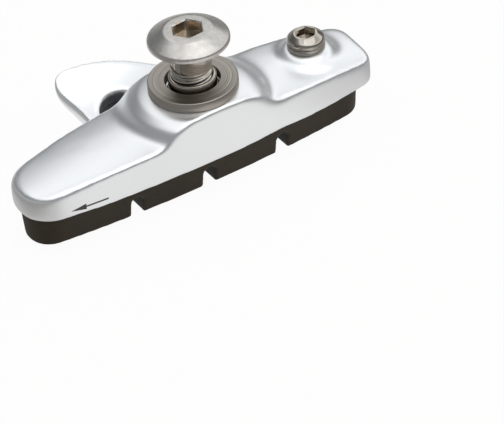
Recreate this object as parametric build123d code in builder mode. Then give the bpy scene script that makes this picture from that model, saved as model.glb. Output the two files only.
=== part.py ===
from build123d import *
import os
from math import cos, radians, sin, sqrt, tan

# Bicycle rim brake shoe: forged holder with wheel-guide fin, slide-in rubber pad, washer and bolt
# The origin lies on the bolt axis in the plane of the rim face. +Z runs up the bolt, -X is the closed
# front end and +Y is the fin's side, which faces the hub. All sizes are millimetres.

# Rubber pad, placed by its own centre beside the bolt axis; its hub side is almost straight
pad_length = 55.0
pad_centre_x = -1.0
pad_centre_y = -0.5
pad_face_width = 7.9
pad_base_width = 10.0
pad_end_draft = 0.2
pad_depth = 5.3
pad_outer_bow = 1.7
pad_inner_bow = 0.08
face_corner_inner = 2.3
face_corner_outer = 3.45
groove_width = 1.9
groove_depth = 3.35
groove_root_round = 0.85
groove_pitch = 12.2
middle_groove_shift = -0.4

# A corner is limited to this share of its end's width
corner_share = 0.57

# Straight T-shaped key of the pad and the holder's channel around it
neck_width = 5.0
neck_height = 1.2
key_width = 6.6
key_height = 1.6
key_shift = 0.2
key_corner = 2.2
key_front_inset = 0.6
slide_clearance = 0.12
shoulder_gap = 0.15
front_stop_gap = 0.2

# Forged holder
front_wall = 1.25
rear_overhang = 0.95
outer_lip = 1.56
inner_lip = 3.0
holder_outer_bow = 1.85
holder_inner_bow = 3.1
front_corner_outer = 5.0
front_corner_inner = 5.45
rear_corner = 2.5

# Arm tops: heights above the holder's lower face along the outer side, crowned between the two sides
arm_middle_rise = 5.6
arm_end_rise = 3.9
front_inner_lift = -0.7
rear_inner_lift = 1.1
arm_crown = 0.65
arm_stations = 5
blank_margin = 1.5

# Round boss with the dome that the washer tilts on
boss_radius = 9.0
boss_rise = 9.0
dome_radius = 54.0
boss_flank_slope = 50.0
boss_edge_bevel = 1.0
boss_root_round = 2.8

# Screw collar on the rear arm
screw_setback = 7.25
screw_y = 0.35
collar_radius = 3.4
collar_rise = 7.0
collar_flank_slope = 50.0
collar_root_bevel = 0.6
collar_edge_bevel = 0.25

# Wheel-guide fin: a plate that leaves the lower lip and sweeps up and outwards
fin_reach = 18.3
fin_margin = 0.7
fin_rise = 6.8
fin_level_run = 0.1
fin_back_start = 5.0
fin_edge_height = 0.6
fin_front_height = 0.6
fin_root_height = 3.6
fin_tail_height = 0.6
fin_front_x = -12.4
fin_root_inset = 1.1
fin_root_round = 2.2
fin_root_length = 4.0
fin_tip_height = 6.3
fin_tip_x = -14.6
fin_shoulder_x = -4.5
fin_shoulder_drop = 0.55
fin_foot_x = 9.0
fin_tail_x = 17.0
fin_tail_inset = 2.2
fin_tip_round = 2.0
fin_shoulder_round = 18.0
fin_waist_round = 12.0
fin_foot_round = 16.0

# Rubber bumper in the fin
bumper_x = -7.2
bumper_y = 9.2
bumper_tilt = 6.0
bumper_diameter = 6.1
bumper_dome = 0.5
bumper_flat = 0.6
bumper_length = 1.7
bumper_hole_depth = 4.0
bumper_clearance = 0.05

# Steel post, washer, bolt and pad screw
thread_diameter = 6.0
thread_clearance = 0.05
post_diameter = 7.0
post_floor = 1.0
post_stand = 0.8
post_mouth_bevel = 0.25
press_clearance = 0.02
washer_diameter = 13.0
washer_bore = 7.8
washer_edge_thickness = 1.45
washer_edge_chamfer = 0.15
dome_clearance = 0.03
clamp_gap = 6.4
bolt_engagement = 6.0
bolt_head_diameter = 11.8
bolt_rim_height = 0.7
bolt_crown_height = 1.35
bolt_crown_flat = 7.0
bolt_relief_diameter = 8.2
bolt_relief_depth = 0.25
bolt_hex = 4.0
bolt_hex_turn = 5.0
bolt_hex_depth = 1.7
bolt_rim_bevel = 0.15
bolt_crown_bevel = 0.3
bolt_end_chamfer = 0.6
screw_head_diameter = 5.6
screw_band_height = 0.75
screw_head_height = 1.55
screw_crown_height = 0.75
screw_crown_flat = 3.5
screw_groove_depth = 0.12
screw_groove_height = 0.16
screw_thread = 3.0
screw_hex = 2.5
screw_hex_depth = 1.2
screw_bite = 1.0
screw_rim_bevel = 0.15
screw_hole_clearance = 0.3


def sagitta(radius, half_chord):
    return radius - sqrt(radius**2 - half_chord**2)


# Heights and places that follow from the sizes above
pad_front = pad_centre_x - pad_length / 2
pad_rear = pad_centre_x + pad_length / 2
holder_base = pad_depth + shoulder_gap
holder_front = pad_front - front_wall
holder_rear = pad_rear + rear_overhang
screw_x = pad_rear - screw_setback
holder_outer = pad_centre_y - pad_base_width / 2 - outer_lip
holder_inner = pad_centre_y + pad_base_width / 2 + inner_lip
key_y = pad_centre_y + key_shift
key_base = pad_depth + neck_height
key_top = key_base + key_height
key_front = pad_front + key_front_inset
channel_front = key_front - front_stop_gap
lip_top = key_base - slide_clearance
channel_roof = key_top + slide_clearance
post_base = channel_roof + post_floor
boss_top = holder_base + boss_rise
boss_edge = boss_top - sagitta(dome_radius, boss_radius)
collar_top = holder_base + collar_rise
washer_edge_base = boss_top - sagitta(dome_radius, washer_diameter / 2) + dome_clearance
washer_top = washer_edge_base + washer_edge_thickness
post_mouth = washer_top + post_stand
head_base = washer_top + clamp_gap
groove_places = [
    pad_centre_x - groove_pitch,
    pad_centre_x + middle_groove_shift,
    pad_centre_x + groove_pitch,
]


def rounded_outline(height, front, rear, outer, inner, outer_bow, inner_bow, corners):
    """A shoe's outline from above: bowed sides, widest at the pad's middle, joined by rounded ends."""
    outer_front = (front, outer + outer_bow)
    outer_rear = (rear, outer + outer_bow)
    inner_front = (front, inner - inner_bow)
    inner_rear = (rear, inner - inner_bow)
    widest_corner = corner_share * (inner - inner_bow - outer - outer_bow)
    front_outer, front_inner, rear_outer, rear_inner = [min(corner, widest_corner) for corner in corners]
    with BuildSketch(Plane.XY.offset(height)) as outline:
        with BuildLine():
            ThreePointArc(outer_front, (pad_centre_x, outer), outer_rear)
            Line(outer_rear, inner_rear)
            ThreePointArc(inner_rear, (pad_centre_x, inner), inner_front)
            Line(inner_front, outer_front)
        make_face()
        fillet(outline.vertices().group_by(Axis.X)[0].sort_by(Axis.Y)[0], front_outer)
        fillet(outline.vertices().group_by(Axis.X)[0].sort_by(Axis.Y)[-1], front_inner)
        fillet(outline.vertices().group_by(Axis.X)[-1].sort_by(Axis.Y)[0], rear_outer)
        fillet(outline.vertices().group_by(Axis.X)[-1].sort_by(Axis.Y)[-1], rear_inner)
    return outline.sketch


def holder_outline():
    corners = (front_corner_outer, front_corner_inner, rear_corner, rear_corner)
    return rounded_outline(
        holder_base, holder_front, holder_rear,
        holder_outer, holder_inner, holder_outer_bow, holder_inner_bow, corners,
    )


def pad_outline(height, width, end_inset):
    """The pad's outline at one height; the outer side follows the rim."""
    draft = (width - pad_face_width) / 2
    outer_corner = face_corner_outer + draft
    inner_corner = face_corner_inner + draft
    return rounded_outline(
        height, pad_front + end_inset, pad_rear - end_inset,
        pad_centre_y - width / 2, pad_centre_y + width / 2,
        pad_outer_bow, pad_inner_bow,
        (outer_corner, inner_corner, outer_corner, inner_corner),
    )


def slide_outline(height, width, front, rear):
    """A straight slide with a rounded front end, for the pad's key and the holder's channel."""
    with BuildSketch(Plane.XY.offset(height)) as outline:
        with Locations(((front + rear) / 2, key_y)):
            Rectangle(rear - front, width)
        fillet(outline.vertices().group_by(Axis.X)[0], key_corner)
    return outline.sketch


def arm_section(x):
    """The arms' blank cut across, wider and deeper than the holder: a crowned top that falls to both ends."""
    along = (x - holder_front) / (holder_rear - holder_front)
    outer_rise = arm_middle_rise - (arm_middle_rise - arm_end_rise) * (2 * along - 1) ** 2
    inner_lift = front_inner_lift + (rear_inner_lift - front_inner_lift) * along

    def top(y):
        across = (y - holder_outer) / (holder_inner - holder_outer)
        return (y, holder_base + outer_rise + inner_lift * across + 4 * arm_crown * across * (1 - across))

    middle_y = (holder_outer + holder_inner) / 2
    low_y = middle_y - blank_reach
    high_y = middle_y + blank_reach
    with BuildSketch(Plane.YZ.offset(x)) as section:
        with BuildLine():
            ThreePointArc(top(low_y), top(middle_y), top(high_y))
            Polyline(top(high_y), (high_y, 0), (low_y, 0), top(low_y))
        make_face()
    return section.sketch


def fin_section(x, root_height):
    """The fin cut across: level under the holder, then sweeping up; the back thickens at the root."""
    tip_low = holder_base + fin_rise
    back = holder_base + root_height
    with BuildSketch(Plane.YZ.offset(x)) as section:
        with BuildLine():
            Line((0, holder_base), (fin_sweep_start, holder_base))
            TangentArc((fin_sweep_start, holder_base), (fin_blank_y, tip_low), tangent=(1, 0))
            Line((fin_blank_y, tip_low), (fin_blank_y, tip_low + fin_edge_height))
            TangentArc((fin_back_start, back), (fin_blank_y, tip_low + fin_edge_height), tangent=(1, 0))
            Line((fin_back_start, back), (0, back))
            Line((0, back), (0, holder_base))
        make_face()
    return section.sketch


def fin_underside(y):
    """Height of the fin's rim-side surface at a distance from the bolt."""
    run = fin_blank_y - fin_sweep_start
    sweep_radius = (run**2 + fin_rise**2) / (2 * fin_rise)
    return holder_base + sagitta(sweep_radius, max(y - fin_sweep_start, 0))


# Runs of the sloping flanks, reach of the blanks, and the bumper's seat in the fin
boss_flank_run = (boss_edge - channel_roof) / tan(radians(boss_flank_slope))
collar_flank_run = (collar_top - channel_roof) / tan(radians(collar_flank_slope))
blank_reach = boss_radius + boss_flank_run + blank_margin
fin_blank_y = fin_reach + fin_margin
fin_sweep_start = holder_inner + fin_level_run
fin_waist_y = fin_reach - fin_tip_height
fin_span_front = fin_front_x - fin_root_length
bumper_up = (0, -sin(radians(bumper_tilt)), cos(radians(bumper_tilt)))
bumper_origin = (bumper_x, bumper_y, fin_underside(bumper_y))
bumper_seat = Plane(origin=bumper_origin, x_dir=(1, 0, 0), z_dir=bumper_up)
bumper_section = Plane(origin=bumper_origin, x_dir=(1, 0, 0), z_dir=bumper_seat.y_dir * -1)
bumper_axis = Axis(bumper_origin, bumper_up)

# Boss: a round rise with a domed top; its sloping flank is buried in the arms
with BuildPart() as boss_blank:
    with BuildSketch(Plane.XZ) as boss_profile:
        with BuildLine():
            RadiusArc((0, boss_top), (boss_radius, boss_edge), dome_radius)
            Line((boss_radius, boss_edge), (boss_radius + boss_flank_run, channel_roof))
            Line((boss_radius + boss_flank_run, channel_roof), (0, channel_roof))
            Line((0, channel_roof), (0, boss_top))
        make_face()
        chamfer(boss_profile.vertices().sort_by_distance((boss_radius, boss_edge))[0], boss_edge_bevel)
    revolve(axis=Axis.Z)

# Fin: a swept plate trimmed to its outline from above
with BuildPart() as fin_blank:
    loft(
        sections=[
            fin_section(fin_span_front, fin_front_height).face(),
            fin_section((fin_span_front + fin_tail_x) / 2, fin_root_height).face(),
            fin_section(fin_tail_x, fin_tail_height).face(),
        ]
    )
    with BuildSketch(Plane.XY.offset(holder_base)) as fin_outline:
        with BuildLine():
            root_y = holder_inner - fin_root_inset
            tip_corner = (fin_tip_x, fin_reach)
            shoulder = (fin_shoulder_x, fin_reach - fin_shoulder_drop)
            foot = (fin_foot_x, holder_inner)
            Polyline(
                (fin_span_front, 0), (fin_span_front, root_y), (fin_front_x, root_y),
                (fin_front_x, fin_waist_y), tip_corner, shoulder, foot,
                (fin_tail_x, holder_inner - fin_tail_inset), (fin_tail_x, 0), close=True,
            )
        make_face()
        fillet(fin_outline.vertices().sort_by_distance((fin_front_x, root_y))[0], fin_root_round)
        fillet(fin_outline.vertices().sort_by_distance((fin_front_x, fin_waist_y))[0], fin_waist_round)
        fillet(fin_outline.vertices().sort_by_distance(tip_corner)[0], fin_tip_round)
        fillet(fin_outline.vertices().sort_by_distance(shoulder)[0], fin_shoulder_round)
        fillet(fin_outline.vertices().sort_by_distance(foot)[0], fin_foot_round)
    extrude(amount=fin_rise + fin_edge_height + fin_root_height, mode=Mode.INTERSECT)

# Collar: a low turned rise for the pad screw
with BuildPart() as collar_blank:
    with BuildSketch(Plane.XZ.offset(-screw_y)) as collar_profile:
        with BuildLine():
            Polyline(
                (screw_x, collar_top),
                (screw_x + collar_radius, collar_top),
                (screw_x + collar_radius + collar_flank_run, channel_roof),
                (screw_x, channel_roof),
                close=True,
            )
        make_face()
        collar_edge = (screw_x + collar_radius, collar_top)
        chamfer(collar_profile.vertices().sort_by_distance(collar_edge)[0], collar_edge_bevel)
    revolve(axis=Axis((screw_x, screw_y, 0), (0, 0, 1)))

# Holder: arms, boss, collar and fin in one forging, with the channel, bores and bumper hole cut in it
with BuildPart() as pad_holder:
    blank_front = holder_front - blank_margin
    station_gap = (holder_rear + blank_margin - blank_front) / (arm_stations - 1)
    loft(sections=[arm_section(blank_front + k * station_gap).face() for k in range(arm_stations)])
    add(boss_blank.part)
    fillet(pad_holder.edges(Select.NEW), boss_root_round)
    add(collar_blank.part)
    chamfer(pad_holder.edges(Select.NEW), collar_root_bevel)
    extrude(holder_outline(), amount=boss_rise, mode=Mode.INTERSECT)
    add(fin_blank.part)
    neck_slot = neck_width + 2 * slide_clearance
    key_slot = key_width + 2 * slide_clearance
    channel_rear = holder_rear + key_corner
    extrude(
        slide_outline(holder_base, neck_slot, channel_front, channel_rear),
        amount=lip_top - holder_base,
        mode=Mode.SUBTRACT,
    )
    extrude(
        slide_outline(lip_top, key_slot, channel_front, channel_rear),
        amount=channel_roof - lip_top,
        mode=Mode.SUBTRACT,
    )
    with BuildSketch(Plane.XY.offset(post_base)):
        Circle(post_diameter / 2 + press_clearance)
    extrude(amount=boss_rise, mode=Mode.SUBTRACT)
    with BuildSketch(Plane.XY.offset(lip_top)):
        with Locations((screw_x, screw_y)):
            Circle(screw_thread / 2 + thread_clearance)
    extrude(amount=boss_rise, mode=Mode.SUBTRACT)
    with BuildSketch(bumper_seat.offset(bumper_hole_depth)):
        Circle(bumper_diameter / 2 + bumper_clearance)
    extrude(amount=-2 * bumper_hole_depth, mode=Mode.SUBTRACT)

# Pad: a drafted block with cross grooves, and the T-shaped key above it
with BuildPart() as brake_pad:
    loft(
        sections=[
            pad_outline(0, pad_face_width, pad_end_draft).face(),
            pad_outline(pad_depth, pad_base_width, 0).face(),
        ]
    )
    with BuildSketch(Plane.XZ.offset(-pad_base_width)) as grooves:
        for x in groove_places:
            with Locations((x, groove_depth / 2 - groove_width / 2)):
                Rectangle(groove_width, groove_depth + groove_width)
        top_corners = grooves.vertices().group_by(Axis.Y)[-1]
        fillet(top_corners, groove_root_round)
    extrude(amount=2 * pad_base_width, mode=Mode.SUBTRACT)
    extrude(slide_outline(pad_depth, neck_width, key_front, pad_rear), amount=neck_height)
    extrude(slide_outline(key_base, key_width, key_front, pad_rear), amount=key_height)
    with BuildSketch(Plane.XY.offset(key_top)):
        with Locations((screw_x, screw_y)):
            Circle(screw_thread / 2 + screw_hole_clearance)
    extrude(amount=-(screw_bite + screw_hole_clearance), mode=Mode.SUBTRACT)

# Bumper: a moulded plug, domed on the rim side
with BuildPart() as guide_bumper:
    with BuildSketch(bumper_section) as bumper_profile:
        with BuildLine():
            rim = bumper_diameter / 2
            Line((0, -bumper_dome), (bumper_flat / 2, -bumper_dome))
            TangentArc((bumper_flat / 2, -bumper_dome), (rim, 0), tangent=(1, 0))
            Polyline((rim, 0), (rim, bumper_length), (0, bumper_length), (0, -bumper_dome))
        make_face()
    revolve(axis=bumper_axis)

# Post: a sleeve pressed into the boss, with the bolt's thread in it
with BuildPart() as threaded_post:
    with BuildSketch(Plane.XY.offset(post_base)):
        Circle(post_diameter / 2)
        Circle(thread_diameter / 2 + thread_clearance, mode=Mode.SUBTRACT)
    extrude(amount=post_mouth - post_base)
    mouth = threaded_post.faces().sort_by(Axis.Z)[-1].edges()
    chamfer(mouth.sort_by(SortBy.LENGTH)[-1], post_mouth_bevel)

# Washer: flat above and hollow below, so that it tilts on the dome
with BuildPart() as toe_in_washer:
    with BuildSketch(Plane.XZ) as washer_profile:
        with BuildLine():
            bore = washer_bore / 2
            rim = washer_diameter / 2
            bore_base = boss_top - sagitta(dome_radius, bore) + dome_clearance
            Line((bore, washer_top), (rim, washer_top))
            Line((rim, washer_top), (rim, washer_edge_base))
            RadiusArc((rim, washer_edge_base), (bore, bore_base), -dome_radius)
            Line((bore, bore_base), (bore, washer_top))
        make_face()
        chamfer(washer_profile.vertices().sort_by_distance((rim, washer_top))[0], washer_edge_chamfer)
    revolve(axis=Axis.Z)

# Bolt: a wide button head with a hex socket on a threaded shank
with BuildPart() as mounting_bolt:
    with BuildSketch(Plane.XZ) as bolt_profile:
        with BuildLine():
            rim = bolt_head_diameter / 2
            shank = thread_diameter / 2
            rim_top = head_base + bolt_rim_height
            crown = rim_top + bolt_crown_height
            end = post_mouth - bolt_engagement
            relief = head_base + bolt_relief_depth
            Polyline(
                (0, crown), (bolt_crown_flat / 2, crown), (rim, rim_top), (rim, head_base),
                (bolt_relief_diameter / 2, head_base), (bolt_relief_diameter / 2, relief),
                (shank, relief), (shank, end), (0, end), close=True,
            )
        make_face()
        chamfer(bolt_profile.vertices().sort_by_distance((rim, rim_top))[0], bolt_rim_bevel)
        chamfer(bolt_profile.vertices().sort_by_distance((bolt_crown_flat / 2, crown))[0], bolt_crown_bevel)
        chamfer(bolt_profile.vertices().sort_by_distance((shank, end))[0], bolt_end_chamfer)
    revolve(axis=Axis.Z)
    with BuildSketch(Plane.XY.offset(crown)):
        RegularPolygon(bolt_hex / 2, 6, major_radius=False, rotation=bolt_hex_turn)
    extrude(amount=-bolt_hex_depth, mode=Mode.SUBTRACT)

# Pad screw: a turned head with a grooved side, standing on the collar
with BuildPart() as pad_screw:
    with BuildSketch(Plane.XZ.offset(-screw_y)) as screw_profile:
        with BuildLine():
            rim = screw_head_diameter / 2
            neck = rim - screw_groove_depth
            band = collar_top + screw_band_height
            rim_top = collar_top + screw_head_height
            crown = rim_top + screw_crown_height
            tip = key_top - screw_bite
            Polyline(
                (screw_x, crown), (screw_x + screw_crown_flat / 2, crown), (screw_x + rim, rim_top),
                (screw_x + rim, band + screw_groove_height), (screw_x + neck, band + screw_groove_height),
                (screw_x + neck, band), (screw_x + rim, band), (screw_x + rim, collar_top),
                (screw_x + screw_thread / 2, collar_top), (screw_x + screw_thread / 2, tip),
                (screw_x, tip), close=True,
            )
        make_face()
        chamfer(screw_profile.vertices().sort_by_distance((screw_x + rim, rim_top))[0], screw_rim_bevel)
    revolve(axis=Axis((screw_x, screw_y, 0), (0, 0, 1)))
    with BuildSketch(Plane.XY.offset(crown)):
        with Locations((screw_x, screw_y)):
            RegularPolygon(screw_hex / 2, 6, major_radius=False)
    extrude(amount=-screw_hex_depth, mode=Mode.SUBTRACT)

os.makedirs("parts", exist_ok=True)
pad_holder.part.label = "pad_holder"
export_step(pad_holder.part, "parts/pad_holder.step")
brake_pad.part.label = "brake_pad"
export_step(brake_pad.part, "parts/brake_pad.step")
guide_bumper.part.label = "guide_bumper"
export_step(guide_bumper.part, "parts/guide_bumper.step")
threaded_post.part.label = "threaded_post"
export_step(threaded_post.part, "parts/threaded_post.step")
toe_in_washer.part.label = "toe_in_washer"
export_step(toe_in_washer.part, "parts/toe_in_washer.step")
mounting_bolt.part.label = "mounting_bolt"
export_step(mounting_bolt.part, "parts/mounting_bolt.step")
pad_screw.part.label = "pad_screw"
export_step(pad_screw.part, "parts/pad_screw.step")
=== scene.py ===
import random
from math import cos, pi, radians, sin, tan

import bpy
from mathutils import Matrix, Vector


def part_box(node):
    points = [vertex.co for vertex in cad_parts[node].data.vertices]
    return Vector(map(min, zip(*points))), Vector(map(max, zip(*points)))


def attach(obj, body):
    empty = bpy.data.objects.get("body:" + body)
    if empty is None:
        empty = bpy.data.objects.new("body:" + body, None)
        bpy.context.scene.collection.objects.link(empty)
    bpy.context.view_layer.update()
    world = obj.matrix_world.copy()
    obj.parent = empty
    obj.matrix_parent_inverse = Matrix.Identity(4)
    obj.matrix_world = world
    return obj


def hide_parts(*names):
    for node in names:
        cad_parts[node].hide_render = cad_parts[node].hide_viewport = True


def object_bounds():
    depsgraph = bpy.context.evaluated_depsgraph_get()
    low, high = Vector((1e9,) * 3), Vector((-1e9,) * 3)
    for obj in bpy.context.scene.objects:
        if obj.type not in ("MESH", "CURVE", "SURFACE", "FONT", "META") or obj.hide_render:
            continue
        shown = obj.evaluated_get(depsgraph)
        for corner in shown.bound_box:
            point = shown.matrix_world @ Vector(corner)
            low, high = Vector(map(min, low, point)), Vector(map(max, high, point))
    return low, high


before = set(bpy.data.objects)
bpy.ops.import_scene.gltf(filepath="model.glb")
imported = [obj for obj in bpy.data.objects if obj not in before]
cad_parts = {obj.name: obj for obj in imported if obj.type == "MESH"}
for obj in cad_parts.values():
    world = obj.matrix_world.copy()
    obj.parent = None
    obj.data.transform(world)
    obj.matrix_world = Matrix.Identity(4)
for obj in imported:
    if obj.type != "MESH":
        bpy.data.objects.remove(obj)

cad_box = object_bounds()

# Pad holder
# One aluminium forging: two arms, the domed boss, the screw collar and the wheel-guide fin.
# It was polished after forging and left satin, so its edges are soft and its faces slightly uneven.
MM = 0.001
end_x = 27
arm_x = 19
valley_x = 9.8
valley_reach = 4.2
end_polish = 1.0
arm_polish = 0.12
valley_polish = 0.9
holder_grid = 0.2
holder_rounds = 45
holder_polish = [
    (-end_x, end_polish),
    (-arm_x, arm_polish),
    (valley_x - valley_reach, arm_polish),
    (valley_x, valley_polish),
    (valley_x + valley_reach, arm_polish),
    (arm_x, arm_polish),
    (end_x, end_polish),
]


def add_node(tree, kind, inputs, **settings):
    """Adds a node; each input takes a plain value or another node's output."""
    made = tree.nodes.new(kind)
    for name, value in settings.items():
        setattr(made, name, value)
    for name, value in inputs.items():
        if isinstance(value, bpy.types.NodeSocket):
            tree.links.new(value, made.inputs[name])
        else:
            made.inputs[name].default_value = value
    return made


def new_finish(name):
    """A new material with its node tree, its shader, and the place on the piece in millimetres."""
    finish = bpy.data.materials.new(name)
    finish.use_nodes = True
    tree = finish.node_tree
    place = add_node(tree, "ShaderNodeTexCoord", {}).outputs["Object"]
    place = add_node(tree, "ShaderNodeVectorMath", {0: place, "Scale": 1 / MM}, operation="SCALE")
    return finish, tree, tree.nodes["Principled BSDF"], place.outputs["Vector"]


def noise(tree, place, per_mm, detail):
    """Cloudy noise of 0 to 1, with so many patches to the millimetre."""
    made = add_node(tree, "ShaderNodeTexNoise", {"Vector": place, "Scale": per_mm, "Detail": detail})
    return made.outputs["Fac"]


def vary_colour(tree, shader, factor, dark, light):
    """Colours the surface from dark to light by a factor of 0 to 1."""
    # Inputs 6 and 7 and output 2 are the Mix node's colour sockets.
    mix = add_node(tree, "ShaderNodeMix", {0: factor, 6: (*dark, 1), 7: (*light, 1)}, data_type="RGBA")
    tree.links.new(mix.outputs[2], shader.inputs["Base Color"])


def vary_roughness(tree, shader, factor, low, high):
    """Makes the surface rougher from low to high by a factor of 0 to 1."""
    span = add_node(tree, "ShaderNodeMapRange", {"Value": factor, "To Min": low, "To Max": high})
    tree.links.new(span.outputs["Result"], shader.inputs["Roughness"])


def add_relief(tree, shader, height, strength, depth):
    """Fine relief on the surface, so many millimetres deep."""
    bump_inputs = {"Height": height, "Strength": strength, "Distance": depth * MM}
    bump = add_node(tree, "ShaderNodeBump", bump_inputs)
    tree.links.new(bump.outputs["Normal"], shader.inputs["Normal"])


def satin_aluminium():
    """Polished aluminium, faintly cloudy, with a fine grain."""
    finish, tree, shader, place = new_finish("satin_aluminium")
    cloud = noise(tree, place, per_mm=0.22, detail=3)
    grain = noise(tree, place, per_mm=7, detail=2)
    shader.inputs["Metallic"].default_value = 1.0
    vary_colour(tree, shader, cloud, dark=(0.845, 0.855, 0.87), light=(0.885, 0.89, 0.895))
    vary_roughness(tree, shader, cloud, low=0.30, high=0.37)
    add_relief(tree, shader, grain, strength=0.2, depth=0.006)
    return finish


def dress(node_name, finish):
    """Gives a carried-over node one finish all over."""
    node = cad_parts[node_name]
    node.data.materials.clear()
    node.data.materials.append(finish)
    return node


def ramp(tree, value, stops, interpolation):
    """Shades of grey along a value, from stops of (value, level)."""
    first = stops[0][0]
    last = stops[-1][0]
    along = add_node(tree, "ShaderNodeMapRange", {"Value": value, "From Min": first, "From Max": last})
    made = add_node(tree, "ShaderNodeValToRGB", {"Fac": along.outputs["Result"]})
    made.color_ramp.interpolation = interpolation
    while len(made.color_ramp.elements) < len(stops):
        made.color_ramp.elements.new(0.5)
    for element, (stop, level) in zip(made.color_ramp.elements, stops):
        element.position = (stop - first) / (last - first)
        element.color = (level, level, level, 1)
    return made


def level_along_shoe(tree, place, stops):
    """A level that changes gently along the shoe, from stops of (x in millimetres, level)."""
    x = add_node(tree, "ShaderNodeSeparateXYZ", {0: place}).outputs["X"]
    return ramp(tree, x, [(stop * MM, level) for stop, level in stops], "EASE").outputs["Color"]


def soften(node, grid, rounds, polish):
    """Rounds a node's edges as polishing or moulding does, by stops of (x, share of the smoothing)."""
    even = node.modifiers.new("even mesh", "REMESH")
    even.mode = "VOXEL"
    even.voxel_size = grid * MM
    even.use_smooth_shade = True
    tree = bpy.data.node_groups.new(node.name + "_edges", "GeometryNodeTree")
    for way in ("INPUT", "OUTPUT"):
        tree.interface.new_socket("Mesh", in_out=way, socket_type="NodeSocketGeometry")
    mesh = add_node(tree, "NodeGroupInput", {}).outputs[0]
    place = add_node(tree, "GeometryNodeInputPosition", {}).outputs[0]
    share = level_along_shoe(tree, place, polish)
    blur_inputs = {"Iterations": rounds, "Weight": share}
    blur = add_node(tree, "GeometryNodeBlurAttribute", blur_inputs, data_type="FLOAT_VECTOR")
    # Blur has a value socket for every type of data, and only the chosen type's is enabled.
    rough_place = next(socket for socket in blur.inputs if socket.enabled)
    smooth_place = next(socket for socket in blur.outputs if socket.enabled)
    tree.links.new(place, rough_place)
    moved = add_node(tree, "GeometryNodeSetPosition", {"Geometry": mesh, "Position": smooth_place})
    add_node(tree, "NodeGroupOutput", {0: moved.outputs[0]})
    node.modifiers.new("softened edges", "NODES").node_group = tree


holder = dress("pad_holder", satin_aluminium())
soften(holder, holder_grid, holder_rounds, holder_polish)

# Direction mark
# A plain arrow printed in dark ink on the holder's outer side. It points to the closed front end, the way
# that the rim runs past the shoe, so that braking pushes the pad into that end.
arrow_tail_x = -18.6
arrow_tip_x = -24.3
arrow_z = 6.85
arrow_line_width = 0.24
arrow_line_spans = 6
arrow_head_length = 2.3
arrow_head_width = 0.95
arrow_head_spans = 5
arrow_tip_width = 0.02
ink_thickness = 0.02
look_from = 10


def outer_wall(x, z):
    """The y of the holder's printed side, found by looking at it from outside."""
    start = Vector((x * MM, cad_box[0].y - look_from * MM, z * MM))
    point = holder.ray_cast(start, Vector((0, 1, 0)))[1]
    return point.y / MM


def add_mesh(name, points, faces):
    """A new piece in the scene, from points in millimetres."""
    mesh = bpy.data.meshes.new(name)
    mesh.from_pydata([(x * MM, y * MM, z * MM) for x, y, z in points], [], faces)
    piece = bpy.data.objects.new(name, mesh)
    bpy.context.scene.collection.objects.link(piece)
    return piece


def printed(name, start, end, spans):
    """A thin layer of ink on the printed side, from one (x, width) to another."""
    # Each column has four points: outer and inner at its foot, then outer and inner at its top.
    points = []
    for k in range(spans + 1):
        x = start[0] + (end[0] - start[0]) * k / spans
        width = max(start[1] + (end[1] - start[1]) * k / spans, arrow_tip_width)
        for z in (arrow_z - width / 2, arrow_z + width / 2):
            wall = outer_wall(x, z)
            points += [(x, wall - ink_thickness, z), (x, wall + ink_thickness, z)]
    faces = [(0, 2, 3, 1)]
    for k in range(spans):
        a = 4 * k
        b = a + 4
        faces += [(a, b, b + 2, a + 2), (a + 1, a + 3, b + 3, b + 1)]
        faces += [(a, a + 1, b + 1, b), (a + 2, b + 2, b + 3, a + 3)]
    faces.append((b, b + 1, b + 3, b + 2))
    return add_mesh(name, points, faces)


def dark_ink():
    """Printing ink, slightly worn."""
    finish, tree, shader, place = new_finish("dark_ink")
    worn = noise(tree, place, per_mm=3, detail=3)
    vary_colour(tree, shader, worn, dark=(0.030, 0.026, 0.022), light=(0.065, 0.058, 0.05))
    vary_roughness(tree, shader, worn, low=0.45, high=0.6)
    return finish


arrow_neck_x = arrow_tip_x + arrow_head_length
arrow_line_ends = (arrow_neck_x, arrow_line_width), (arrow_tail_x, arrow_line_width)
arrow_head_ends = (arrow_tip_x, 0), (arrow_neck_x, arrow_head_width)
marks = [
    printed("arrow_line", *arrow_line_ends, arrow_line_spans),
    printed("arrow_head", *arrow_head_ends, arrow_head_spans),
]
ink = dark_ink()
for mark in marks:
    mark.data.materials.append(ink)
    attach(mark, "root")

# Threaded post
# A plated steel sleeve pressed into the boss, with the bolt's thread inside and a rounded mouth.
# It was turned from bar, so its faces are rings about the bolt axis.
post_low, post_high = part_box("threaded_post")
post_foot = post_low.z / MM
post_top = post_high.z / MM
post_radius = post_high.x / MM
post_wall = 0.45
post_bore_round = 0.05
post_rim_round = 0.38
turn_steps = 96
corner_steps = 5


def lathe_profile(corners):
    """A profile in millimetres through corners of (radius, height, rounding)."""
    profile = []
    for k, (r, z, rounding) in enumerate(corners):
        if rounding == 0:
            profile.append((r, z))
            continue
        here = Vector((r, z))
        before = (Vector(corners[k - 1][:2]) - here).normalized()
        after = (Vector(corners[k + 1][:2]) - here).normalized()
        half = before.angle(after) / 2
        start = here + before * rounding / tan(half)
        end = here + after * rounding / tan(half)
        centre = here + (before + after).normalized() * rounding / sin(half)
        for step in range(corner_steps + 1):
            spoke = (start - centre).slerp(end - centre, step / corner_steps)
            profile.append(tuple(centre + spoke.normalized() * rounding))
    return profile


def round_ring(r, z, turn=0.0):
    """One round ring of points, in millimetres, with its first point at the turn."""
    angles = [turn + 2 * pi * k / turn_steps for k in range(turn_steps)]
    return [(r * cos(a), r * sin(a), z) for a in angles]


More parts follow.
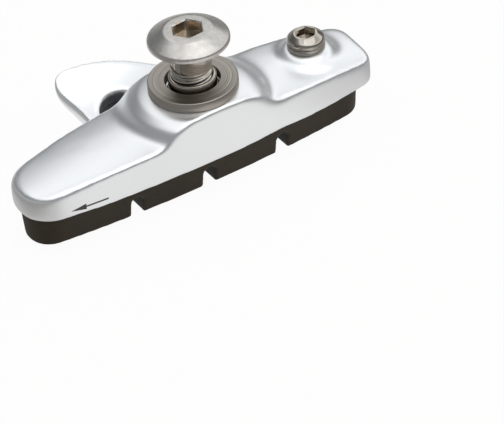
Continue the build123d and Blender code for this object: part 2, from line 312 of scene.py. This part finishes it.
def skin(name, rings, closed, centre=(0, 0), sharp=35):
    """A mesh stretched over rings; a closed one joins its last ring to its first, others are capped.
    Edges that bend by more than the sharp angle, in degrees, stay crisp."""
    points = []
    for ring in rings:
        points += [(x + centre[0], y + centre[1], z) for x, y, z in ring]
    faces = []
    spans = len(rings) if closed else len(rings) - 1
    for k in range(spans):
        low = k * turn_steps
        high = (k + 1) % len(rings) * turn_steps
        for i in range(turn_steps):
            j = (i + 1) % turn_steps
            faces.append((low + i, low + j, high + j, high + i))
    if not closed:
        first_ring = range(turn_steps)
        last_ring = range(len(points) - turn_steps, len(points))
        faces += [tuple(reversed(first_ring)), tuple(last_ring)]
    piece = add_mesh(name, points, faces)
    piece.data.shade_smooth()
    piece.data.set_sharp_from_angle(angle=radians(sharp))
    return piece


def polished_steel():
    """Smooth turned steel that mirrors its surroundings."""
    finish, tree, shader, place = new_finish("polished_steel")
    cloud = noise(tree, place, per_mm=0.9, detail=3)
    shader.inputs["Metallic"].default_value = 1.0
    vary_colour(tree, shader, cloud, dark=(0.33, 0.30, 0.265), light=(0.5, 0.465, 0.42))
    vary_roughness(tree, shader, cloud, low=0.06, high=0.14)
    return finish


polished = polished_steel()
post_bore = post_radius - post_wall
post_profile = lathe_profile([
    (post_bore, post_foot, 0),
    (post_bore, post_top, post_bore_round),
    (post_radius, post_top, post_rim_round),
    (post_radius, post_foot, 0),
])
post = skin("threaded_post_turned", [round_ring(r, z) for r, z in reversed(post_profile)], closed=True)
post.data.materials.append(polished)
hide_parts("threaded_post")
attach(post, "root")

# Toe-in washer
# A thick steel washer, faced on a lathe so that fine rings show on its top. Its underside is hollow
# and rests on the boss's dome, so that it tilts while the bolt is loose.
washer_low, washer_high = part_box("toe_in_washer")
washer_base = washer_low.z / MM
washer_top = washer_high.z / MM
washer_radius = washer_high.x / MM
washer_bore = 3.9
washer_bevel = 0.15
washer_hollow = 0.25
facing_pitch = 0.32
facing_depth = 0.03
facing_least = 0.3
facing_steps = 6
facing_seed = 7


def turned_steel():
    """Steel with lighter and darker rings round the bolt axis, where the cutting tool ran."""
    finish, tree, shader, place = new_finish("turned_steel")
    flat = add_node(tree, "ShaderNodeVectorMath", {0: place, 1: (1, 1, 0)}, operation="MULTIPLY")
    from_axis = add_node(tree, "ShaderNodeVectorMath", {0: flat.outputs["Vector"]}, operation="LENGTH")
    ring_place = add_node(tree, "ShaderNodeCombineXYZ", {"X": from_axis.outputs["Value"]})
    rings = noise(tree, ring_place.outputs["Vector"], per_mm=3.4, detail=2)
    cloud = noise(tree, place, per_mm=0.8, detail=3)
    tangent = add_node(tree, "ShaderNodeTangent", {}, direction_type="RADIAL", axis="Z")
    tree.links.new(tangent.outputs["Tangent"], shader.inputs["Tangent"])
    shader.inputs["Metallic"].default_value = 1.0
    shader.inputs["Anisotropic"].default_value = 0.6
    vary_colour(tree, shader, rings, dark=(0.05, 0.041, 0.033), light=(0.70, 0.645, 0.585))
    vary_roughness(tree, shader, cloud, low=0.26, high=0.36)
    add_relief(tree, shader, rings, strength=0.3, depth=0.02)
    return finish


face_width = washer_radius - washer_bore - 2 * washer_bevel
face_count = int(face_width / facing_pitch) * facing_steps
face_profile = []
random.seed(facing_seed)
for k in range(face_count + 1):
    if k % facing_steps == 0:
        cut = random.uniform(facing_least, 1.0) * facing_depth
    across_cut = (k % facing_steps) / facing_steps
    height = washer_top - cut * (1 - abs(2 * across_cut - 1))
    face_profile.append((washer_bore + washer_bevel + face_width * k / face_count, height))
washer_profile = [
    (washer_radius, washer_base),
    (washer_radius, washer_top - washer_bevel),
    *reversed(face_profile),
    (washer_bore, washer_top - washer_bevel),
    (washer_bore, washer_base + washer_hollow),
]
washer = skin("toe_in_washer_turned", [round_ring(r, z) for r, z in washer_profile], closed=True, sharp=50)
washer.data.materials.append(turned_steel())
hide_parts("toe_in_washer")
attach(washer, "root")

# Mounting bolt
# A plated M6 button-head bolt with a pressed hex socket. Its head clamps the brake arm against the
# washer, and its thread runs down into the post.
bolt_low, bolt_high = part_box("mounting_bolt")
bolt_end = bolt_low.z / MM
bolt_crown = bolt_high.z / MM
bolt_rim = bolt_high.x / MM
bolt_rim_height = 0.7
bolt_rim_round = 0.15
bolt_shoulder_round = 0.45
bolt_crown_height = 1.35
bolt_crown_flat = 3.5
bolt_crown_round = 0.9
# The crown's flat ends just outside the corners of the hex socket.
bolt_mouth = 2.6
bolt_relief = 4.1
bolt_relief_depth = 0.25
bolt_relief_round = 0.06
bolt_neck_round = 0.2
bolt_hex = 4.0
bolt_hex_turn = radians(5)
bolt_hex_depth = 1.7
hex_bevel = 0.18
socket_ledge = 0.1
drill_depth = 0.5
drill_point = 0.05
thread_major = 3.0
thread_minor = 2.58
thread_pitch = 1.0
thread_steps = 16
thread_top = 18.0
thread_fade = 0.5
end_bevel = 0.3
end_bevel_height = 0.15
# Faces nearer to the crown than this belong to its flat, and not to the socket.
below_crown = 0.01


def arithmetic(tree, operation, first, second):
    """Two numbers put together by the named operation."""
    return add_node(tree, "ShaderNodeMath", {0: first, 1: second}, operation=operation).outputs[0]


def bright_steel():
    """Plated steel, pressed and tumbled, with fine pits and a cloudy speckle."""
    finish, tree, shader, place = new_finish("bright_steel")
    cloud = noise(tree, place, per_mm=1.3, detail=4)
    pits = noise(tree, place, per_mm=11, detail=2)
    speckle = arithmetic(tree, "MULTIPLY", cloud, pits)
    shader.inputs["Metallic"].default_value = 1.0
    vary_colour(tree, shader, speckle, dark=(0.44, 0.415, 0.385), light=(0.98, 0.965, 0.94))
    vary_roughness(tree, shader, pits, low=0.22, high=0.42)
    add_relief(tree, shader, pits, strength=0.4, depth=0.008)
    return finish


def socket_shade_steel():
    """Steel inside a socket, painted darker and browner than the head as shade in the recess."""
    finish, tree, shader, place = new_finish("socket_shade_steel")
    socket_tone = noise(tree, place, per_mm=1.5, detail=3)
    shader.inputs["Metallic"].default_value = 1.0
    # Painted shade: the socket is coloured darker and browner than the head.
    vary_colour(tree, shader, socket_tone, dark=(0.36, 0.285, 0.205), light=(0.72, 0.64, 0.55))
    vary_roughness(tree, shader, socket_tone, low=0.08, high=0.2)
    return finish


def hex_ring(across, z, turn):
    """One six-sided ring of points, in millimetres, with corners at the turn."""
    ring = []
    for k in range(turn_steps):
        a = 2 * pi * k / turn_steps
        from_corner = (a + pi / 6) % (pi / 3) - pi / 6
        r = across / 2 / cos(pi / 6 - abs(from_corner))
        ring.append((r * cos(a + turn), r * sin(a + turn), z))
    return ring


def thread_ring(z, turn):
    """One ring of the thread at a height; the groove winds round as the height grows."""
    fade = min(1.0, max(0.0, (thread_top - z) / thread_fade))
    depth = (thread_major - thread_minor) * fade
    ring = []
    for k in range(turn_steps):
        a = 2 * pi * k / turn_steps
        ridge = 0.5 + 0.5 * cos(2 * pi * z / thread_pitch - a)
        r = thread_major - depth * (1 - ridge)
        ring.append((r * cos(a + turn), r * sin(a + turn), z))
    return ring


def socket_rings(across, top, depth, turn):
    """A hex socket with a bevelled mouth and a drilled floor, from the mouth down."""
    return [
        hex_ring(across + 2 * hex_bevel, top, turn),
        hex_ring(across, top - hex_bevel, turn),
        hex_ring(across, top - depth, turn),
        round_ring(across / 2 - socket_ledge, top - depth, turn),
        round_ring(drill_point, top - depth - drill_depth, turn),
    ]


def finish_by_place(piece, finishes, choose):
    """Gives each face the finish that is chosen for its middle, in millimetres."""
    for finish in finishes:
        piece.data.materials.append(finish)
    for face in piece.data.polygons:
        face.material_index = finishes.index(choose(face.center / MM))


def bolt_finish(middle):
    """Polished below the head, painted darker in the socket as shade, and plated bright on the head."""
    if middle.z < head_base:
        return polished
    if middle.xy.length < bolt_hex / 2 + hex_bevel and middle.z < bolt_crown - below_crown:
        return socket_shade
    return bright


bright = bright_steel()
# The sockets' finish is painted darker and browner, as shade in the recess.
socket_shade = socket_shade_steel()
shoulder = bolt_crown - bolt_crown_height
head_base = shoulder - bolt_rim_height
relief_top = head_base + bolt_relief_depth
head_profile = lathe_profile([
    (thread_major, thread_top, 0),
    (thread_major, relief_top, bolt_neck_round),
    (bolt_relief, relief_top, 0),
    (bolt_relief, head_base, bolt_relief_round),
    (bolt_rim, head_base, bolt_rim_round),
    (bolt_rim, shoulder, bolt_shoulder_round),
    (bolt_crown_flat, bolt_crown, bolt_crown_round),
    (bolt_mouth, bolt_crown, 0),
])
bolt_rings = [round_ring(thread_minor - end_bevel, bolt_end, bolt_hex_turn)]
thread_low = bolt_end + end_bevel_height
thread_count = int((thread_top - bolt_end) / thread_pitch * thread_steps)
for k in range(thread_count + 1):
    height = thread_low + (thread_top - thread_low) * k / thread_count
    bolt_rings.append(thread_ring(height, bolt_hex_turn))
# The thread's last ring is also the head profile's first.
bolt_rings += [round_ring(r, z, bolt_hex_turn) for r, z in head_profile[1:]]
bolt_rings += socket_rings(bolt_hex, bolt_crown, bolt_hex_depth, bolt_hex_turn)
bolt = skin("mounting_bolt_turned", bolt_rings, closed=False)
finish_by_place(bolt, (bright, polished, socket_shade), bolt_finish)
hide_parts("mounting_bolt")
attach(bolt, "root")

# Brake pad
# A moulded block of brown-black brake compound, slid into the holder from the open rear end. Its skin
# is matt with a fine grain, and cross grooves in its face clear water and grit.
pad_grid = 0.18
pad_rounds = 10
pad_side_polish = 0.3
pad_polish = [
    (-end_x, end_polish),
    (-arm_x, pad_side_polish),
    (arm_x, pad_side_polish),
    (end_x, end_polish),
]


def pad_rubber():
    """Matt brown-black rubber compound with a fine grain."""
    finish, tree, shader, place = new_finish("pad_rubber")
    cloud = noise(tree, place, per_mm=0.35, detail=3)
    grain = noise(tree, place, per_mm=4.5, detail=3)
    shader.inputs["Specular IOR Level"].default_value = 0.25
    vary_colour(tree, shader, cloud, dark=(0.024, 0.0165, 0.0086), light=(0.043, 0.0305, 0.0172))
    vary_roughness(tree, shader, grain, low=0.5, high=0.68)
    add_relief(tree, shader, grain, strength=0.5, depth=0.03)
    return finish


pad = dress("brake_pad", pad_rubber())
soften(pad, pad_grid, pad_rounds, pad_polish)

# Pad screw
# A small bright steel screw with a turned groove round its head. It stands on the holder's collar and
# bites into the pad's key, so that the pad can't slide back out.
screw_low, screw_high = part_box("pad_screw")
screw_x = (screw_low.x + screw_high.x) / 2 / MM
screw_y = (screw_low.y + screw_high.y) / 2 / MM
screw_tip = screw_low.z / MM
screw_crown = screw_high.z / MM
screw_rim = (screw_high.x - screw_low.x) / 2 / MM
screw_rim_round = 0.12
screw_shoulder_round = 0.8
screw_head_height = 2.3
screw_crown_height = 0.75
screw_crown_flat = 1.75
screw_crown_round = 0.15
screw_mouth = 1.66
screw_band = 0.75
screw_groove = 0.16
screw_groove_depth = 0.12
screw_groove_round = 0.05
screw_shank = 1.5
screw_hex = 2.5
screw_hex_depth = 1.2


def screw_finish(middle):
    """Painted darker in the socket as shade, and polished elsewhere."""
    from_axis = (middle.xy - Vector((screw_x, screw_y))).length
    if from_axis < screw_hex / 2 and middle.z < screw_crown - below_crown:
        return socket_shade
    return polished


screw_base = screw_crown - screw_head_height
groove_low = screw_base + screw_band
groove_high = groove_low + screw_groove
groove_floor = screw_rim - screw_groove_depth
screw_profile = lathe_profile([
    (screw_shank, screw_tip, 0),
    (screw_shank, screw_base, 0),
    (screw_rim, screw_base, screw_rim_round),
    (screw_rim, groove_low, screw_groove_round),
    (groove_floor, groove_low, 0),
    (groove_floor, groove_high, 0),
    (screw_rim, groove_high, screw_groove_round),
    (screw_rim, screw_crown - screw_crown_height, screw_shoulder_round),
    (screw_crown_flat, screw_crown, screw_crown_round),
    (screw_mouth, screw_crown, 0),
])
screw_rings = [round_ring(r, z) for r, z in screw_profile]
screw_rings += socket_rings(screw_hex, screw_crown, screw_hex_depth, turn=0)
screw = skin("pad_screw_turned", screw_rings, closed=False, centre=(screw_x, screw_y))
finish_by_place(screw, (polished, socket_shade), screw_finish)
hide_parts("pad_screw")
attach(screw, "root")

# Guide bumper
# A soft black rubber plug pressed into the hole in the fin, domed on the side that faces the wheel.
# It is smooth from its mould.


def bumper_rubber():
    """Smooth black rubber with a slight sheen."""
    finish, tree, shader, place = new_finish("bumper_rubber")
    cloud = noise(tree, place, per_mm=1.2, detail=2)
    vary_colour(tree, shader, cloud, dark=(0.010, 0.010, 0.011), light=(0.020, 0.020, 0.021))
    vary_roughness(tree, shader, cloud, low=0.32, high=0.45)
    return finish


bumper = dress("guide_bumper", bumper_rubber())
bumper.data.shade_smooth()

# Studio
# A white floor that keeps a faint shadow. Metal mirrors it dimmer, and dimmer still past both ends of the
# shoe, as painted shade in the reflections of its ends. The ceiling leans to the shoe's rear: pale in the
# middle, then a bright ring, then a dark band.
floor_size = 3000
floor_paint = (0.92, 0.89, 0.85)
floor_glow = 0.95
mirrored_glow = 0.68
# Painted shade: past both ends of the shoe the floor mirrors dimmer, to darken the reflections in the
# shoe's ends.
mirror_shade_along_shoe = [(-44, 0.12), (-30, 0.56), (-20, 1.0), (16, 1.0), (28, 0.7), (42, 0.3)]
ceiling_lean = (0.35, 0.0, 0.937)
ceiling_strength = 1.8
ceiling_coolness = 0.07
ceiling = [
    (-0.4, 0.21),
    (0.0, 0.27),
    (0.2, 0.15),
    (0.36, 0.10),
    (0.5, 0.13),
    (0.61, 0.27),
    (0.68, 0.80),
    (0.76, 0.75),
    (0.86, 0.52),
    (1.0, 0.45),
]
lamp_place = Vector((100, -100, 475)) * MM
lamp_size = 360 * MM
lamp_watts = 0.36


def white_floor():
    """Floor paint that shines white to the camera, and at the mirrored level to metal."""
    finish = bpy.data.materials.new("white_floor")
    finish.use_nodes = True
    tree = finish.node_tree
    tree.nodes.clear()
    paint = add_node(tree, "ShaderNodeBsdfDiffuse", {"Color": (*floor_paint, 1)})
    rays = add_node(tree, "ShaderNodeLightPath", {}).outputs
    place = add_node(tree, "ShaderNodeTexCoord", {}).outputs["Object"]
    # Painted shade: the level that metal sees falls past both ends of the shoe.
    mirror_shade = level_along_shoe(tree, place, mirror_shade_along_shoe)
    strength = arithmetic(tree, "MAXIMUM", rays["Is Camera Ray"], mirror_shade)
    glow = add_node(tree, "ShaderNodeEmission", {"Color": (1, 1, 1, 1), "Strength": strength})
    share = arithmetic(tree, "MULTIPLY", rays["Is Camera Ray"], floor_glow)
    for ray in ("Is Glossy Ray", "Is Transmission Ray"):
        mirrored_share = arithmetic(tree, "MULTIPLY", rays[ray], mirrored_glow)
        share = arithmetic(tree, "MAXIMUM", share, mirrored_share)
    mixed = add_node(tree, "ShaderNodeMixShader", {0: share, 1: paint.outputs[0], 2: glow.outputs[0]})
    add_node(tree, "ShaderNodeOutputMaterial", {"Surface": mixed.outputs[0]})
    return finish


edge = floor_size / 2
floor_corners = [(-edge, -edge, 0), (edge, -edge, 0), (edge, edge, 0), (-edge, edge, 0)]
floor_piece = add_mesh("floor", floor_corners, [(0, 1, 2, 3)])
floor_piece.data.materials.append(white_floor())

world = bpy.data.worlds.new("studio")
bpy.context.scene.world = world
world.use_nodes = True
sky = world.node_tree
sky.nodes.clear()
direction = add_node(sky, "ShaderNodeTexCoord", {}).outputs["Generated"]
lean = add_node(sky, "ShaderNodeVectorMath", {0: direction, 1: ceiling_lean}, operation="DOT_PRODUCT")
shades = ramp(sky, lean.outputs["Value"], ceiling, "LINEAR")
# The darker a shade of the ceiling is, the cooler.
for shade, (toward_middle, brightness) in zip(shades.color_ramp.elements, ceiling):
    coolness = ceiling_coolness * (1 - brightness)
    shade.color = (brightness * (1 - coolness), brightness * (1 - coolness / 3), brightness, 1)
background = {"Color": shades.outputs["Color"], "Strength": ceiling_strength}
studio = add_node(sky, "ShaderNodeBackground", background)
add_node(sky, "ShaderNodeOutputWorld", {"Surface": studio.outputs[0]})

lamp_data = bpy.data.lights.new("overhead_lamp", "AREA")
lamp_data.shape = "SQUARE"
lamp_data.size = lamp_size
lamp_data.energy = lamp_watts
lamp = bpy.data.objects.new("overhead_lamp", lamp_data)
lamp.location = lamp_place
lamp.rotation_euler = lamp_place.to_track_quat("Z", "Y").to_euler()
bpy.context.scene.collection.objects.link(lamp)

# Camera
# It stands in front of the printed side, to the left of the bolt and above, and leans a little.
# The picture's middle lies to the right of the pad's middle and below it.
view_azimuth = radians(-28.22)
view_elevation = radians(36.67)
view_roll = radians(6.13)
view_distance = 448 * MM
view_lens = 222.3
view_nearest = 10 * MM
picture_right = 7.80 * MM
picture_down = 6.05 * MM
pad_middle = Vector((-1.0, -0.5, 0)) * MM
back = Vector((
    sin(view_azimuth) * cos(view_elevation),
    -cos(view_azimuth) * cos(view_elevation),
    sin(view_elevation),
))
level_line = Vector((cos(view_azimuth), sin(view_azimuth), 0))
upright = back.cross(level_line)
picture_x = level_line * cos(view_roll) - upright * sin(view_roll)
picture_y = level_line * sin(view_roll) + upright * cos(view_roll)
camera_place = pad_middle + back * view_distance
aim = pad_middle + picture_x * picture_right - picture_y * picture_down
to_camera = (camera_place - aim).normalized()
side = (picture_x - to_camera * picture_x.dot(to_camera)).normalized()
camera_turn = Matrix((side, to_camera.cross(side), to_camera)).transposed()
camera_data = bpy.data.cameras.new("camera")
camera_data.lens = view_lens
camera_data.clip_start = view_nearest
camera = bpy.data.objects.new("camera", camera_data)
camera.matrix_world = Matrix.Translation(camera_place) @ camera_turn.to_4x4()
bpy.context.scene.collection.objects.link(camera)
bpy.context.scene.camera = camera
bpy.context.scene.view_settings.view_transform = "Standard"
